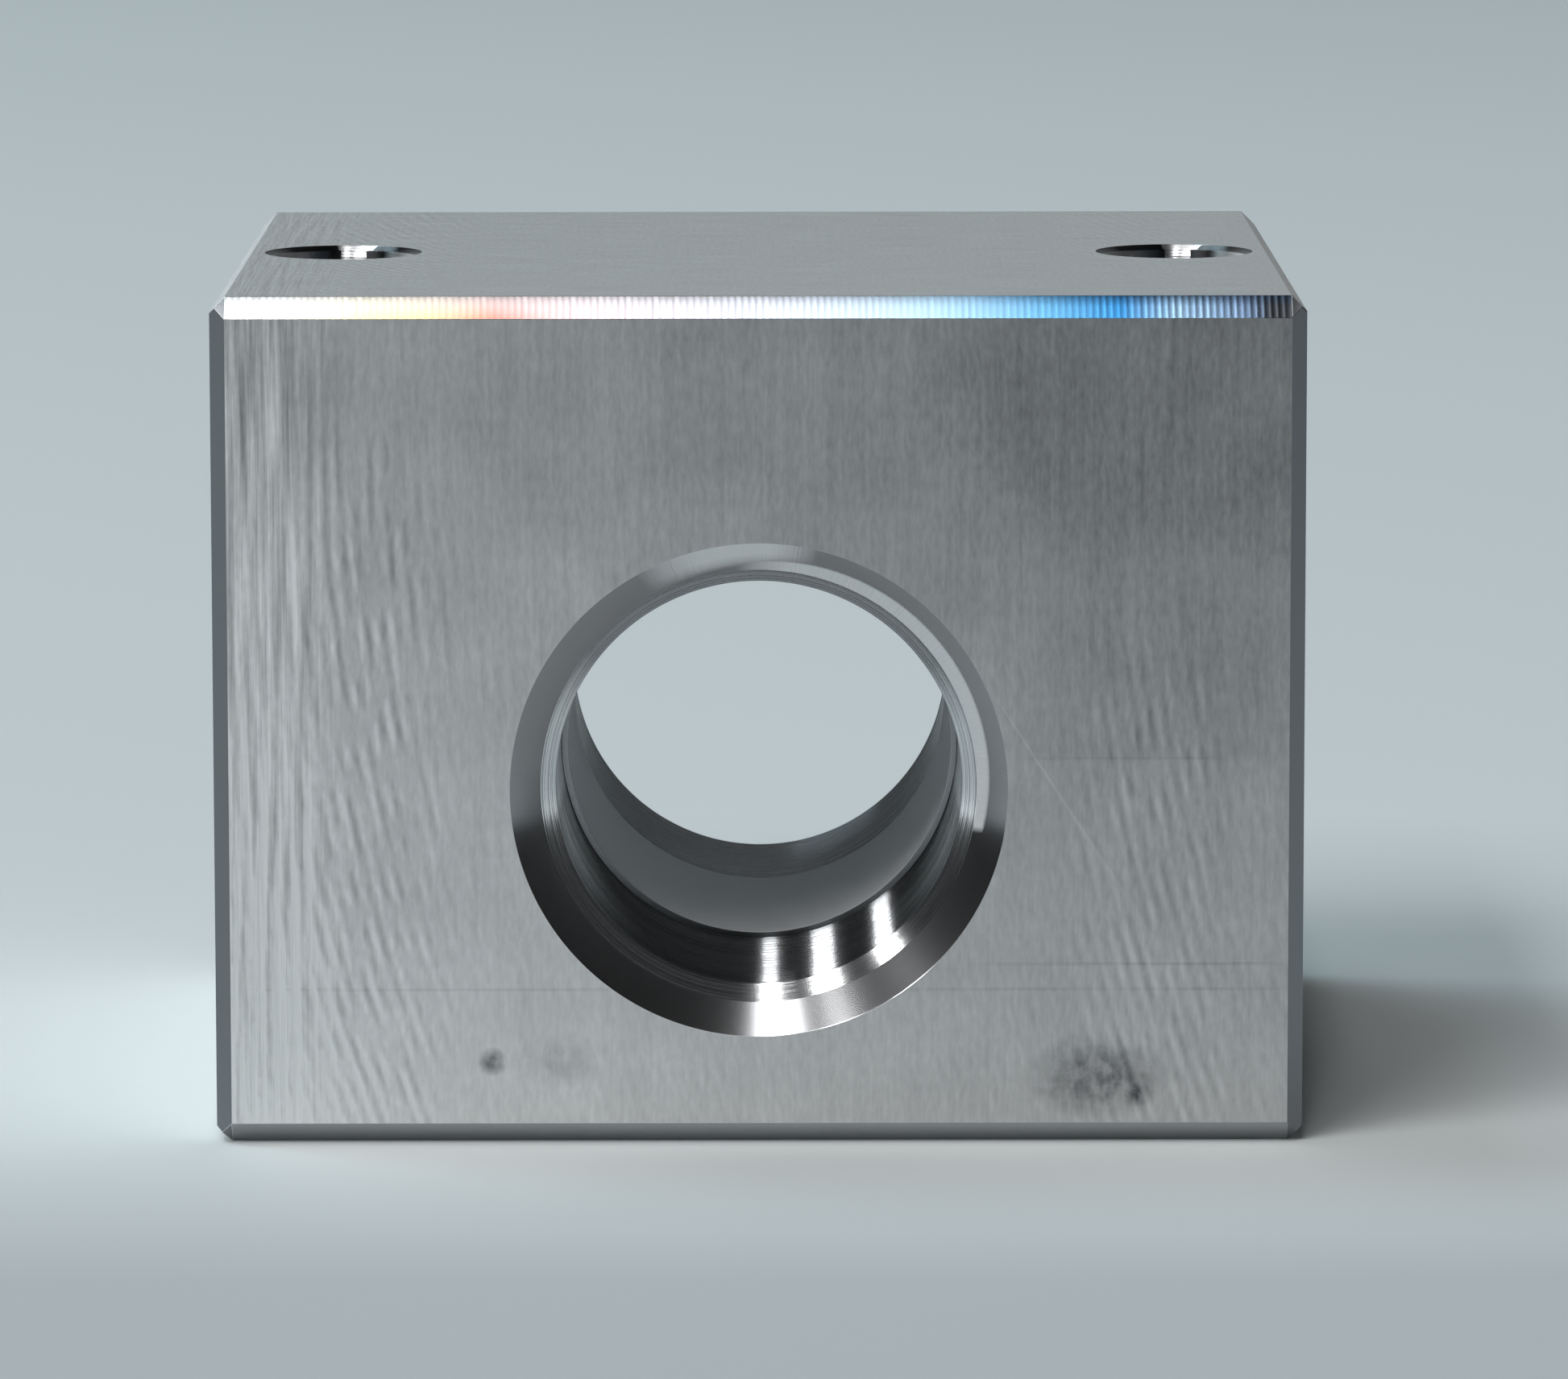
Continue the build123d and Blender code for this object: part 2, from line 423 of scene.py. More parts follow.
# The painted tints cover the front's top edge only, and at its left end mostly the lower part of it
down_edge = {0: edge_z, 1: height, 2: height - long_edge_chamfer, 3: 0.3, 4: 1.0}
low_on_edge = add(tree, "ShaderNodeMapRange", down_edge).outputs[0]
blue_end = add(tree, "ShaderNodeMapRange", {0: edge_x, 1: -4 * MM, 2: 10 * MM}).outputs[0]
tint_reach = add(tree, "ShaderNodeMath", {0: low_on_edge, 1: blue_end}, operation="MAXIMUM").outputs[0]
front_edge = add(tree, "ShaderNodeMath", {0: edge_y, 1: 0.0}, operation="LESS_THAN").outputs[0]
top_edge = add(tree, "ShaderNodeMath", {0: edge_z, 1: middle.z}, operation="GREATER_THAN").outputs[0]
on_front_top = add(tree, "ShaderNodeMath", {0: front_edge, 1: top_edge}, operation="MULTIPLY").outputs[0]
tinted = add(tree, "ShaderNodeMath", {0: tint_reach, 1: on_front_top}, operation="MULTIPLY").outputs[0]
tinted_tones = {0: tinted, 6: hex_colour("#B2B4B7"), 7: rainbow.outputs[0]}
tinted_tone = add(tree, "ShaderNodeMix", tinted_tones, data_type="RGBA").outputs[2]
# Painted shade darkens the top of its blue end
upper_half = {0: edge_z, 1: height, 2: height - long_edge_chamfer / 2, 3: 1.0, 4: 0.0}
upper_painted_shade = add(tree, "ShaderNodeMapRange", upper_half).outputs[0]
right_end = {0: edge_x, 1: 13 * MM, 2: 23 * MM, 3: 0.0, 4: 0.75}
right_painted_shade = add(tree, "ShaderNodeMapRange", right_end).outputs[0]
painted_shade_share = add(tree, "ShaderNodeMath", {0: upper_painted_shade, 1: right_painted_shade}, operation="MULTIPLY").outputs[0]
painted_edge_shade = add(tree, "ShaderNodeMath", {0: painted_shade_share, 1: on_front_top}, operation="MULTIPLY").outputs[0]
edge_tones = {0: painted_edge_shade, 6: tinted_tone, 7: hex_colour("#2A4058")}
edge_tone = add(tree, "ShaderNodeMix", edge_tones, data_type="RGBA").outputs[2]
tree.links.new(edge_tone, chamfered_shader.inputs["Base Color"])

# Hand-deburred aluminium: a plain darker grey, smooth enough for a soft glint along an edge
deburred = bare_aluminium("deburred_aluminium", {
    "Base Color": hex_colour("#85878A"),
    "Metallic": 1.0,
    "Roughness": 0.3,
})[0]

rib_inputs = {
    "Pitch": 2 * ribbed / rib_count,
    "Depth": 0.008 * MM,
    "Start": -ribbed,
    "Centre height": middle.z,
}
ribs = bpy.data.node_groups.new("feed_ribs", "GeometryNodeTree")
ribs.interface.new_socket("Geometry", in_out="INPUT", socket_type="NodeSocketGeometry")
for name in rib_inputs:
    ribs.interface.new_socket(name, in_out="INPUT", socket_type="NodeSocketFloat")
ribs.interface.new_socket("Geometry", in_out="OUTPUT", socket_type="NodeSocketGeometry")
given = add(ribs, "NodeGroupInput").outputs
spot = add(ribs, "ShaderNodeSeparateXYZ", {0: add(ribs, "GeometryNodeInputPosition").outputs[0]}).outputs
fed = add(ribs, "ShaderNodeMath", {0: spot["X"], 1: given["Start"]}, operation="SUBTRACT").outputs[0]
teeth = add(ribs, "ShaderNodeMath", {0: fed, 1: given["Pitch"]}, operation="DIVIDE").outputs[0]
part_tooth = add(ribs, "ShaderNodeMath", {0: teeth}, operation="FRACT").outputs[0]
rest_of_tooth = add(ribs, "ShaderNodeMath", {0: 1.0, 1: part_tooth}, operation="SUBTRACT").outputs[0]
scallop = add(ribs, "ShaderNodeMath", {0: part_tooth, 1: rest_of_tooth}, operation="MULTIPLY").outputs[0]
# The cutter pressed harder towards its entry and its exit, and no two teeth cut quite alike
tooth_number = add(ribs, "ShaderNodeMath", {0: teeth}, operation="FLOOR").outputs[0]
white_noise = add(ribs, "ShaderNodeTexWhiteNoise", {"W": tooth_number}, noise_dimensions="1D")
tooth_chance = white_noise.outputs["Value"]
entry_end = {0: spot["X"], 1: -8 * MM, 2: 8 * MM, 3: 0.34, 4: 0.14}
entering = add(ribs, "ShaderNodeMapRange", entry_end).outputs[0]
exit_end = {0: spot["X"], 1: 16 * MM, 2: half_width, 3: 0.0, 4: 0.7}
leaving = add(ribs, "ShaderNodeMapRange", exit_end).outputs[0]
pressed = add(ribs, "ShaderNodeMath", {0: entering, 1: leaving}, operation="ADD").outputs[0]
uneven = add(ribs, "ShaderNodeMapRange", {0: tooth_chance, 3: 0.6, 4: 1.4}).outputs[0]
bite = add(ribs, "ShaderNodeMath", {0: pressed, 1: uneven}, operation="MULTIPLY").outputs[0]
weight = add(ribs, "GeometryNodeInputNamedAttribute", {"Name": "rib"}, data_type="FLOAT").outputs[0]
cut = scallop
for factor in (bite, weight, given["Depth"]):
    cut = add(ribs, "ShaderNodeMath", {0: cut, 1: factor}, operation="MULTIPLY").outputs[0]
# A scallop peaks at a quarter before this, and each axis takes 0.707 of a cut at 45 degrees
axis_share = -4 / math.sqrt(2)
along_axis = add(ribs, "ShaderNodeMath", {0: cut, 1: axis_share}, operation="MULTIPLY").outputs[0]
y_side = add(ribs, "ShaderNodeMath", {0: spot["Y"]}, operation="SIGN").outputs[0]
above_centre = {0: spot["Z"], 1: given["Centre height"]}
above = add(ribs, "ShaderNodeMath", above_centre, operation="SUBTRACT").outputs[0]
z_side = add(ribs, "ShaderNodeMath", {0: above}, operation="SIGN").outputs[0]
outward = add(ribs, "ShaderNodeCombineXYZ", {"Y": y_side, "Z": z_side}).outputs[0]
inwards = {0: outward, "Scale": along_axis}
inward_cut = add(ribs, "ShaderNodeVectorMath", inwards, operation="SCALE").outputs[0]
ribbing = {"Geometry": given["Geometry"], "Offset": inward_cut}
moved = add(ribs, "GeometryNodeSetPosition", ribbing).outputs[0]
realized = add(ribs, "GeometryNodeRealizeInstances", {"Geometry": moved}).outputs[0]
# Compare takes its two whole numbers at 2 and 3
slot_number = add(ribs, "GeometryNodeInputMaterialIndex").outputs[0]
is_chamfer = {2: slot_number, 3: CHAMFERED}
on_chamfer = add(ribs, "FunctionNodeCompare", is_chamfer, data_type="INT", operation="EQUAL").outputs[0]
dressing = {"Geometry": realized, "Selection": on_chamfer, "Material": chamfered}
dressed = add(ribs, "GeometryNodeSetMaterial", dressing).outputs[0]
add(ribs, "NodeGroupOutput", {"Geometry": dressed})

rib_modifier = block.modifiers.new("feed_ribs", "NODES")
rib_modifier.node_group = ribs
sockets = {item.name: item.identifier for item in ribs.interface.items_tree if item.in_out == "INPUT"}
for name, value in rib_inputs.items():
    rib_modifier[sockets[name]] = value

# ---------------------------------------------------------------------------------------------
# The bore. Boring bars turned a bush seat from each end and left a narrower land between them, to
# stop the bushes. A form tool cut the lead-in and the chamfer at each mouth, and the front mouth
# was broken again with a hand scraper. It is made here as the solid that the tools cut away.

mounts = {mount["name"]: mount for mount in frame["record"]["mounts"]}
seat = mounts["back_seat"]
seat_radius = seat["dims"]["r_mm"] * MM
wall_length = seat["dims"]["length_mm"] * MM
bore_axis_height = seat["pos_m"][2]
shoulder = seat["pos_m"][1] - wall_length / 2
wall_end = shoulder + wall_length
land_step = 0.4 * MM
lead_in_width = 0.85 * MM
mouth_chamfer = 1.75 * MM
land_radius = seat_radius - land_step
lead_in_radius = seat_radius + lead_in_width
rim_radius = lead_in_radius + mouth_chamfer
mouth_start = face_y - mouth_chamfer
bore_segments = 360

# Past the face a cutter flares out, so that its end stays clear of the rim
clear_of_face = 0.2 * MM
flare = 5 * clear_of_face

MOUTH, LEAD_IN, TURNED_SEAT, BACK_SEAT, BORED_LAND = range(3, 8)

cutters = bmesh.new()


def turned(profile, segments, finish, place):
    """Turn (distance along, radius) points about Z to a closed solid, each band with its finish, and add
    it to the cutters at its place."""
    solid = bmesh.new()
    lay_layer = solid.loops.layers.uv.new("lay")
    bands = []
    for along, radius in profile:
        angles = (2 * math.pi * k / segments for k in range(segments))
        bands.append([solid.verts.new((radius * math.cos(a), radius * math.sin(a), along)) for a in angles])
    walked = [0.0]
    for near, far in zip(profile, profile[1:]):
        walked.append(walked[-1] + (Vector(far) - Vector(near)).length)
    arc = 2 * math.pi * seat_radius / segments
    for i, (band, following) in enumerate(zip(bands, bands[1:])):
        finish_here = finish((profile[i][0] + profile[i + 1][0]) / 2)
        for j in range(segments):
            k = (j + 1) % segments
            face = solid.faces.new((band[j], band[k], following[k], following[j]))
            face.material_index = finish_here
            corners = ((i, j), (i, j + 1), (i + 1, j + 1), (i + 1, j))
            for loop, (row, column) in zip(face.loops, corners):
                loop[lay_layer].uv = (walked[row], column * arc)
    solid.faces.new(bands[0])
    solid.faces.new(bands[-1])
    bmesh.ops.recalc_face_normals(solid, faces=solid.faces)
    solid.transform(place)
    solid_mesh = bpy.data.meshes.new("turned")
    solid.to_mesh(solid_mesh)
    solid.free()
    cutters.from_mesh(solid_mesh)
    bpy.data.meshes.remove(solid_mesh)


def bore_finish(along):
    """Which tool left the wall of the bore, this far from the middle. A round goes with the wider side."""
    if abs(along) > mouth_start - 0.5 * deburred_radius:
        return MOUTH
    if abs(along) > wall_end:
        return LEAD_IN
    if abs(along) < shoulder - 0.1 * deburred_radius:
        return BORED_LAND
    return BACK_SEAT if along > 0 else TURNED_SEAT


half_bore = [
    (shoulder, land_radius),
    (shoulder, seat_radius),
    (wall_end, seat_radius),
    (mouth_start, lead_in_radius),
    (face_y, rim_radius),
    (face_y + clear_of_face, rim_radius + flare),
]
bore_profile = eased([(-y, r) for y, r in reversed(half_bore)] + half_bore, deburred_radius)
bore_centre = Matrix.Translation((middle.x, middle.y, bore_axis_height))
turned(bore_profile, bore_segments, bore_finish, bore_centre @ Matrix.Rotation(math.radians(-90), 4, "X"))

# A boring bar leaves fine grooves round the hole. Some of them lie level and mirror the dark inside of
# the hole, and the others lean far towards its front, so that a lamp shows in them as one long bright
# streak down the wall. A finishing feed of 0.03 mm a turn sets them that close together.
groove_pitch = 0.03 * MM
to_front = (0, -1, 0)


def groove_slopes(tree, leaning_share, leans):
    """The slope of each groove round a wall. A share of the grooves leans, between two slopes."""
    wall_lay = add(tree, "ShaderNodeUVMap", uv_map="lay").outputs[0]
    along_wall = add(tree, "ShaderNodeSeparateXYZ", {0: wall_lay}).outputs["X"]
    groove = add(tree, "ShaderNodeMath", {0: along_wall, 1: groove_pitch}, operation="DIVIDE").outputs[0]
    number = add(tree, "ShaderNodeMath", {0: groove}, operation="FLOOR").outputs[0]
    chance = add(tree, "ShaderNodeTexWhiteNoise", {"W": number}, noise_dimensions="1D").outputs["Value"]
    level_share = 1 - leaning_share
    is_leaning = add(tree, "ShaderNodeMath", {0: chance, 1: level_share}, operation="GREATER_THAN").outputs[0]
    lean_range = {0: chance, 1: level_share, 2: 1.0, 3: leans[0], 4: leans[1]}
    lean = add(tree, "ShaderNodeMapRange", lean_range).outputs[0]
    return add(tree, "ShaderNodeMath", {0: is_leaning, 1: lean}, operation="MULTIPLY").outputs[0]


def tipped_normal(tree, axis, slope):
    """The surface's normal, tipped along an axis by a slope."""
    upright = add(tree, "ShaderNodeNewGeometry").outputs["Normal"]
    sideways = add(tree, "ShaderNodeVectorMath", {0: axis, "Scale": slope}, operation="SCALE").outputs[0]
    tipped = add(tree, "ShaderNodeVectorMath", {0: upright, 1: sideways}, operation="ADD").outputs[0]
    return add(tree, "ShaderNodeVectorMath", {0: tipped}, operation="NORMALIZE").outputs[0]


def turned_aluminium(name, inputs, leaning_share, leans):
    """Bare aluminium with grooves round the bore, which stretch its highlights along the wall."""
    material, shader = bare_aluminium(name, {"Metallic": 1.0, "Anisotropic": 1.0, **inputs})
    slope = groove_slopes(material.node_tree, leaning_share, leans)
    normal = tipped_normal(material.node_tree, to_front, slope)
    material.node_tree.links.new(normal, shader.inputs["Normal"])
    return material, shader


# Turned aluminium: a dark wall with long bright streaks down it. The two walls are a shaded and a lit
# copy of one finish: the front one is painted darker as painted shade, the back one paler as painted light
seat_leans = (0.95, 2.3)
front_wall = {"Base Color": hex_colour("#8E9092"), "Roughness": 0.16}
turned_seat = turned_aluminium("turned_seat_aluminium", front_wall, 0.6, seat_leans)[0]
back_wall = {"Base Color": hex_colour("#C5C6C8"), "Roughness": 0.2}
back_seat = turned_aluminium("turned_back_seat_aluminium", back_wall, 0.6, seat_leans)[0]

# Coarsely bored aluminium: the land carries nothing, so its torn surface is pale and as matt as chalk
bored_land = bare_aluminium("bored_land_aluminium", {
    "Base Color": hex_colour("#FAFBFC"),
    "Metallic": 0.5,
    "Roughness": 0.9,
})[0]

# Form-turned aluminium: the lead-ins shine evenly, as most of their grooves lean. Painted shade
# darkens the top of each one. A bearing is the angle round from the top, in radians, more to the right.
lead_in, lead_in_shader = turned_aluminium("lead_in_aluminium", {"Roughness": 0.2}, 0.85, (0.6, 1.5))
tree = lead_in.node_tree
lead_in_position = add(tree, "ShaderNodeTexCoord").outputs["Object"]
lead_in_way = away_from(tree, lead_in_position, 0.0, bore_axis_height, MM, MM)[0]
lead_in_spoke = add(tree, "ShaderNodeSeparateXYZ", {0: lead_in_way}).outputs
round_lead_in = {0: lead_in_spoke["X"], 1: lead_in_spoke["Z"]}
lead_in_bearing = add(tree, "ShaderNodeMath", round_lead_in, operation="ARCTAN2").outputs[0]
shade_begins = add(tree, "ShaderNodeMapRange", {0: lead_in_bearing, 1: -1.25, 2: -0.9}).outputs[0]
shade_ends = add(tree, "ShaderNodeMapRange", {0: lead_in_bearing, 1: 1.3, 2: 0.95}).outputs[0]
painted_top_shade = add(tree, "ShaderNodeMath", {0: shade_begins, 1: shade_ends}, operation="MULTIPLY").outputs[0]
painted_shade_tones = {0: painted_top_shade, 6: hex_colour("#E8E9EA"), 7: hex_colour("#A0A2A4")}
lead_in_tone = add(tree, "ShaderNodeMix", painted_shade_tones, data_type="RGBA").outputs[2]
tree.links.new(lead_in_tone, lead_in_shader.inputs["Base Color"])

# Form-turned aluminium, scraped by hand: the mouth mirrors the room along its foot, is rubbed matt
# towards its top, and at the front has a scraped cap and crescent with fine scores across them,
# which are also painted paler as a painted highlight
mouth, mouth_shader = bare_aluminium("bore_mouth_aluminium", {"Metallic": 1.0})
tree = mouth.node_tree
mouth_position = add(tree, "ShaderNodeTexCoord").outputs["Object"]
# The scraper ran off centre: along the top, and down the right as far as the axis
scraper_x = 0.5 * MM
scraper_height = bore_axis_height + 0.45 * MM
mouth_way, out = away_from(tree, mouth_position, scraper_x, scraper_height, MM, MM)
mouth_spoke = add(tree, "ShaderNodeSeparateXYZ", {0: mouth_way}).outputs
round_mouth = {0: mouth_spoke["X"], 1: mouth_spoke["Z"]}
bearing = add(tree, "ShaderNodeMath", round_mouth, operation="ARCTAN2").outputs[0]
# The crescent lies within 13 mm of the scraper's centre, and above and right of where it began
within = add(tree, "ShaderNodeMapRange", {0: out, 1: 13.05, 2: 12.9}).outputs[0]
above_start = add(tree, "ShaderNodeMapRange", {0: mouth_spoke["Z"], 1: -3.2, 2: -2.8}).outputs[0]
rightward = add(tree, "ShaderNodeMapRange", {0: bearing, 1: -0.15, 2: 0.1}).outputs[0]
right_side = add(tree, "ShaderNodeMath", {0: within, 1: above_start}, operation="MULTIPLY").outputs[0]
crescent = add(tree, "ShaderNodeMath", {0: right_side, 1: rightward}, operation="MULTIPLY").outputs[0]
# The cap lies along the top of the rim
cap_begins = add(tree, "ShaderNodeMapRange", {0: bearing, 1: -0.56, 2: -0.28}).outputs[0]
cap_ends = add(tree, "ShaderNodeMapRange", {0: bearing, 1: 0.22, 2: 0.0}).outputs[0]
rimward = add(tree, "ShaderNodeMapRange", {0: out, 1: 12.7, 2: 13.5}).outputs[0]
top_arc = add(tree, "ShaderNodeMath", {0: cap_begins, 1: cap_ends}, operation="MULTIPLY").outputs[0]
cap = add(tree, "ShaderNodeMath", {0: top_arc, 1: rimward}, operation="MULTIPLY").outputs[0]
cap_or_crescent = add(tree, "ShaderNodeMath", {0: cap, 1: crescent}, operation="MAXIMUM").outputs[0]
depth_along = add(tree, "ShaderNodeSeparateXYZ", {0: mouth_position}).outputs["Y"]
at_front = add(tree, "ShaderNodeMath", {0: depth_along, 1: 0.0}, operation="LESS_THAN").outputs[0]
scraped_and_painted_highlight = add(tree, "ShaderNodeMath", {0: cap_or_crescent, 1: at_front}, operation="MULTIPLY").outputs[0]
matt_top = {0: mouth_spoke["Z"], 1: -3.0, 2: 6.0, 3: 0.0, 4: 0.75}
higher_up = add(tree, "ShaderNodeMapRange", matt_top).outputs[0]
rubbing = add(tree, "ShaderNodeMath", {0: scraped_and_painted_highlight, 1: higher_up}, operation="MAXIMUM").outputs[0]
rubbed = add(tree, "ShaderNodeMapRange", {0: rubbing, 3: 0.18, 4: 0.5}).outputs[0]
tree.links.new(rubbed, mouth_shader.inputs["Roughness"])
# The scraper's fine scores tip the scraped metal forwards by uneven slopes
scores_per_radian = 110.0
score = add(tree, "ShaderNodeMath", {0: bearing, 1: scores_per_radian}, operation="MULTIPLY").outputs[0]
score_noise = {"W": score, "Scale": 1.0, "Detail": 2.0}
scores = add(tree, "ShaderNodeTexNoise", score_noise, noise_dimensions="1D").outputs[0]
score_slope = add(tree, "ShaderNodeMapRange", {0: scores, 1: 0.3, 2: 0.7, 3: 0.35, 4: 0.95}).outputs[0]
scraped_slope = add(tree, "ShaderNodeMath", {0: scraped_and_painted_highlight, 1: score_slope}, operation="MULTIPLY").outputs[0]
tree.links.new(tipped_normal(tree, to_front, scraped_slope), mouth_shader.inputs["Normal"])
# The scraped cap and crescent are painted paler, a painted highlight
mouth_tones = {0: scraped_and_painted_highlight, 6: hex_colour("#C0C1C3"), 7: hex_colour("#E8E9EA")}
mouth_tone = add(tree, "ShaderNodeMix", mouth_tones, data_type="RGBA").outputs[2]
tree.links.new(mouth_tone, mouth_shader.inputs["Base Color"])

# ---------------------------------------------------------------------------------------------
# The bolt holes. A plain hole is drilled straight down through the block on each side of the bore,
# for a bolt, and a countersink broke both its ends. They join the bore among the cutters.

bolt_pattern = mounts["bolt_holes"]["dims"]
hole_radius = bolt_pattern["hole_r_mm"] * MM
hole_spacing = bolt_pattern["spacing_x_mm"] * MM
hole_chamfer = 0.3 * MM
hole_segments = 144
half_height = height / 2

DRILLED = 8

half_hole = [
    (half_height - hole_chamfer, hole_radius),
    (half_height, hole_radius + hole_chamfer),
    (half_height + clear_of_face, hole_radius + hole_chamfer + flare),
]
hole_profile = eased([(-z, r) for z, r in reversed(half_hole)] + half_hole, deburred_radius)
for side in (-1, 1):
    hole_centre = Matrix.Translation((side * hole_spacing / 2, middle.y, middle.z))
    turned(hole_profile, hole_segments, lambda along: DRILLED, hole_centre)
cutter_mesh = bpy.data.meshes.new("cutters")
cutters.to_mesh(cutter_mesh)
cutters.free()
cutter = bpy.data.objects.new("cutter", cutter_mesh)
bpy.context.scene.collection.objects.link(cutter)

# Drilled aluminium: each hole's wall is painted dark as painted shade, all but a strip of it that
# glints and the two sides that look along the block. The drill's margins scuffed those two sides matt
# and pale.
to_top = (0, 0, 1)
strip_middle = -0.095
strip_half_width = 0.175
scuff_slope = 1.4
drilled, drilled_shader = bare_aluminium("drilled_aluminium", {"Anisotropic": 1.0})
tree = drilled.node_tree
wall_normal = add(tree, "ShaderNodeNewGeometry").outputs["Normal"]
facing = add(tree, "ShaderNodeSeparateXYZ", {0: wall_normal}).outputs["X"]
strip = {0: facing, 1: strip_middle, 2: strip_half_width}
on_strip = add(tree, "ShaderNodeMath", strip, operation="COMPARE").outputs[0]
# Painted shade: the wall is dark off the strip
strip_tones = {0: on_strip, 6: hex_colour("#505254"), 7: hex_colour("#D8D9DB")}
strip_tone = add(tree, "ShaderNodeMix", strip_tones, data_type="RGBA").outputs[2]
end_facing = add(tree, "ShaderNodeMath", {0: facing}, operation="ABSOLUTE").outputs[0]
scuffed = add(tree, "ShaderNodeMapRange", {0: end_facing, 1: 0.5, 2: 0.95}).outputs[0]
scuffed_tones = {0: scuffed, 6: strip_tone, 7: hex_colour("#F4F5F6")}
scuffed_tone = add(tree, "ShaderNodeMix", scuffed_tones, data_type="RGBA").outputs[2]
tree.links.new(scuffed_tone, drilled_shader.inputs["Base Color"])
scuffed_roughness = add(tree, "ShaderNodeMapRange", {0: scuffed, 3: 0.3, 4: 0.8}).outputs[0]
tree.links.new(scuffed_roughness, drilled_shader.inputs["Roughness"])
scuffed_metal = add(tree, "ShaderNodeMapRange", {0: scuffed, 3: 1.0, 4: 0.5}).outputs[0]
tree.links.new(scuffed_metal, drilled_shader.inputs["Metallic"])
# Grooves tip the strip upwards, and the scuffs tip the two sides upwards
strip_slope = {0: groove_slopes(tree, 0.7, (0.45, 0.9)), 1: on_strip}
grooved_slope = add(tree, "ShaderNodeMath", strip_slope, operation="MULTIPLY").outputs[0]
both_slopes = {0: scuffed, 1: scuff_slope, 2: grooved_slope}
hole_slope = add(tree, "ShaderNodeMath", both_slopes, operation="MULTIPLY_ADD").outputs[0]
tree.links.new(tipped_normal(tree, to_top, hole_slope), drilled_shader.inputs["Normal"])

# ---------------------------------------------------------------------------------------------
# The finished block. The cutters are taken out of the ribbed stock, which leaves one solid piece of
# metal with a finish for each tool that cut it. Nothing is fitted to it. Its flat faces shade flat.

for finish in (milled, chamfered, deburred, mouth, lead_in, turned_seat, back_seat, bored_land, drilled):
    stock_mesh.materials.append(finish)
    cutter_mesh.materials.append(finish)


def made_plain(thing):
    """Make what the modifiers give the object's own mesh, and take the modifiers off."""
    evaluated = thing.evaluated_get(bpy.context.evaluated_depsgraph_get())
    mesh = bpy.data.meshes.new_from_object(evaluated)
    thing.modifiers.clear()
    thing.data = mesh


bore_modifier = block.modifiers.new("bore_and_holes", "BOOLEAN")
bore_modifier.object = cutter
bore_modifier.operation = "DIFFERENCE"
bore_modifier.solver = "EXACT"
made_plain(block)
bpy.data.objects.remove(cutter)

sharpest_smooth = math.radians(19)
block.data.shade_smooth()
block.data.set_sharp_from_angle(angle=sharpest_smooth)
normals_modifier = block.modifiers.new("flat_faces_shade_flat", "WEIGHTED_NORMAL")
normals_modifier.keep_sharp = True
made_plain(block)
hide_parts(BLOCK)
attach(block, "root")

# ---------------------------------------------------------------------------------------------
# The floor. A plain sheet of pale matt paper, which runs far behind the block. A painted shadow makes
# it a little greyer just in front of the block, and painted light paler again nearer the camera, and
# the metal mirrors both.

floor_size = 4.0
floor_corners = [(-1, -1), (1, -1), (1, 1), (-1, 1)]
floor_mesh = bpy.data.meshes.new("floor")
floor_mesh.from_pydata([(x * floor_size, y * floor_size, 0.0) for x, y in floor_corners], [], [(0, 1, 2, 3)])
floor = bpy.data.objects.new("floor", floor_mesh)
bpy.context.scene.collection.objects.link(floor)

# Uncoated paper: no gloss to speak of, so that it shows only its own tone and the block's shadow
paper = bpy.data.materials.new("pale_paper")
paper.use_nodes = True
tree = paper.node_tree
tree.nodes.clear()
floor_place = add(tree, "ShaderNodeTexCoord").outputs["Object"]
toward_back = add(tree, "ShaderNodeSeparateXYZ", {0: floor_place}).outputs["Y"]
# A painted shadow just in front of the block, then painted light nearer the camera
painted_shadow_share = add(tree, "ShaderNodeMapRange", {0: toward_back, 1: -0.03, 2: -0.07}).outputs[0]
near_tones = {0: painted_shadow_share, 6: hex_colour("#C6CBCC"), 7: hex_colour("#ACB1B3")}
near_tone = add(tree, "ShaderNodeMix", near_tones, data_type="RGBA").outputs[2]
painted_light_share = add(tree, "ShaderNodeMapRange", {0: toward_back, 1: -0.10, 2: -0.18}).outputs[0]
paper_tones = {0: painted_light_share, 6: near_tone, 7: hex_colour("#D6DADB")}
paper_tone = add(tree, "ShaderNodeMix", paper_tones, data_type="RGBA").outputs[2]
paper_shader = add(tree, "ShaderNodeBsdfPrincipled", {
    "Base Color": paper_tone,
    "Roughness": 0.9,
    "Specular IOR Level": 0.2,
})
add(tree, "ShaderNodeOutputMaterial", {"Surface": paper_shader.outputs[0]})
floor_mesh.materials.append(paper)

# ---------------------------------------------------------------------------------------------
# The light. Long ceiling lamps hang overhead and to the left and face straight down, and a cool
# one stands for daylight from behind. The room round them is dim, and paler high up at its back.

ceiling_height = 3.0


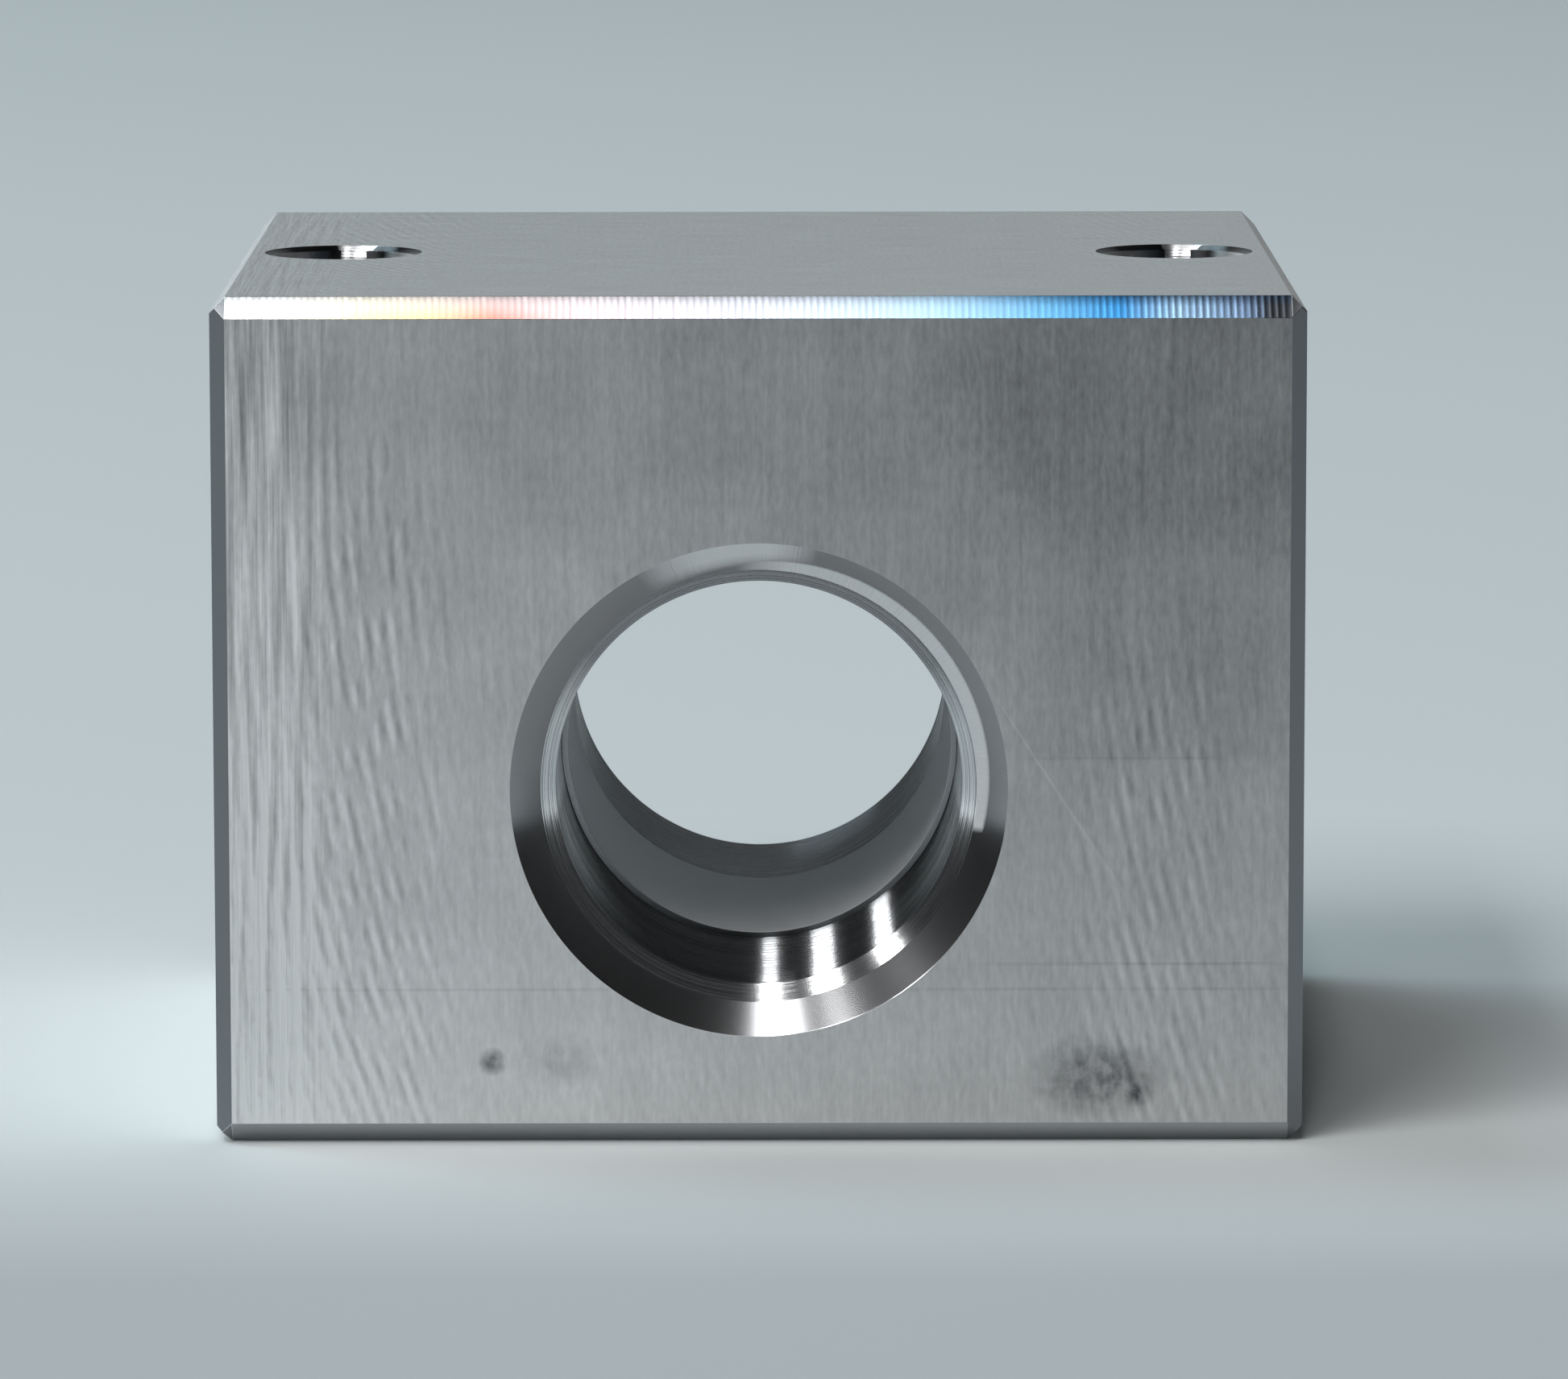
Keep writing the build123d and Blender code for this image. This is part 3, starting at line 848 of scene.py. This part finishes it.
def lamp(name, left, right, front, back, radiance, colour="#FFFFFF"):
    """A rectangular ceiling lamp between these sides, which faces straight down."""
    data = bpy.data.lights.new(name, "AREA")
    data.shape = "RECTANGLE"
    data.size = right - left
    data.size_y = back - front
    # An area lamp's power is pi times its area times its radiance
    data.energy = math.pi * data.size * data.size_y * radiance
    data.color = hex_colour(colour)[:3]
    holder = bpy.data.objects.new(name, data)
    bpy.context.scene.collection.objects.link(holder)
    holder.location = ((left + right) / 2, (front + back) / 2, ceiling_height)


lamp("overhead_lamp", -0.60, 0.03, -0.90, -0.05, 4.5)
lamp("first_lamp", -0.31, -0.08, -4.00, -0.95, 12.0)
lamp("second_lamp", -1.42, -1.00, -4.00, -0.80, 16.0)
lamp("third_lamp", -3.20, -2.60, -4.00, -1.30, 22.0)
lamp("daylight", -2.80, -0.60, 0.30, 1.60, 6.5, "#DDF6FF")

world = bpy.data.worlds.new("dim_room")
bpy.context.scene.world = world
world.use_nodes = True
tree = world.node_tree
tree.nodes.clear()
heading = add(tree, "ShaderNodeTexCoord").outputs["Generated"]
way = add(tree, "ShaderNodeSeparateXYZ", {0: heading}).outputs
back = add(tree, "ShaderNodeMath", {0: way["Y"], 1: 0.0}, operation="MAXIMUM").outputs[0]
up = add(tree, "ShaderNodeMath", {0: way["Z"], 1: 0.0}, operation="MAXIMUM").outputs[0]
back_and_up = add(tree, "ShaderNodeMath", {0: back, 1: up}, operation="MULTIPLY").outputs[0]
room = add(tree, "ShaderNodeMapRange", {0: back_and_up, 1: 0.2, 2: 0.5, 3: 0.02, 4: 0.2}).outputs[0]
background = add(tree, "ShaderNodeBackground", {"Color": room, "Strength": 1.0})
add(tree, "ShaderNodeOutputWorld", {"Surface": background.outputs[0]})

# ---------------------------------------------------------------------------------------------
# The camera. A long lens, level with twice the block's height and half a metre in front of it,
# which looks a little down on the block.

camera_data = bpy.data.cameras.new("camera")
camera_data.sensor_width = 36.0
camera_data.lens = 208.93
camera = bpy.data.objects.new("camera", camera_data)
bpy.context.scene.collection.objects.link(camera)
eye = Vector((0.65 * MM, -face_y - 527.3 * MM, 100.07 * MM))
yaw, pitch, roll = (math.radians(angle) for angle in (-0.0896, 90 - 7.8896, -0.0712))
turn = Matrix.Rotation(yaw, 4, "Z") @ Matrix.Rotation(pitch, 4, "X") @ Matrix.Rotation(roll, 4, "Z")
camera.matrix_world = Matrix.Translation(eye) @ turn
bpy.context.scene.camera = camera
bpy.context.scene.view_settings.view_transform = "Standard"
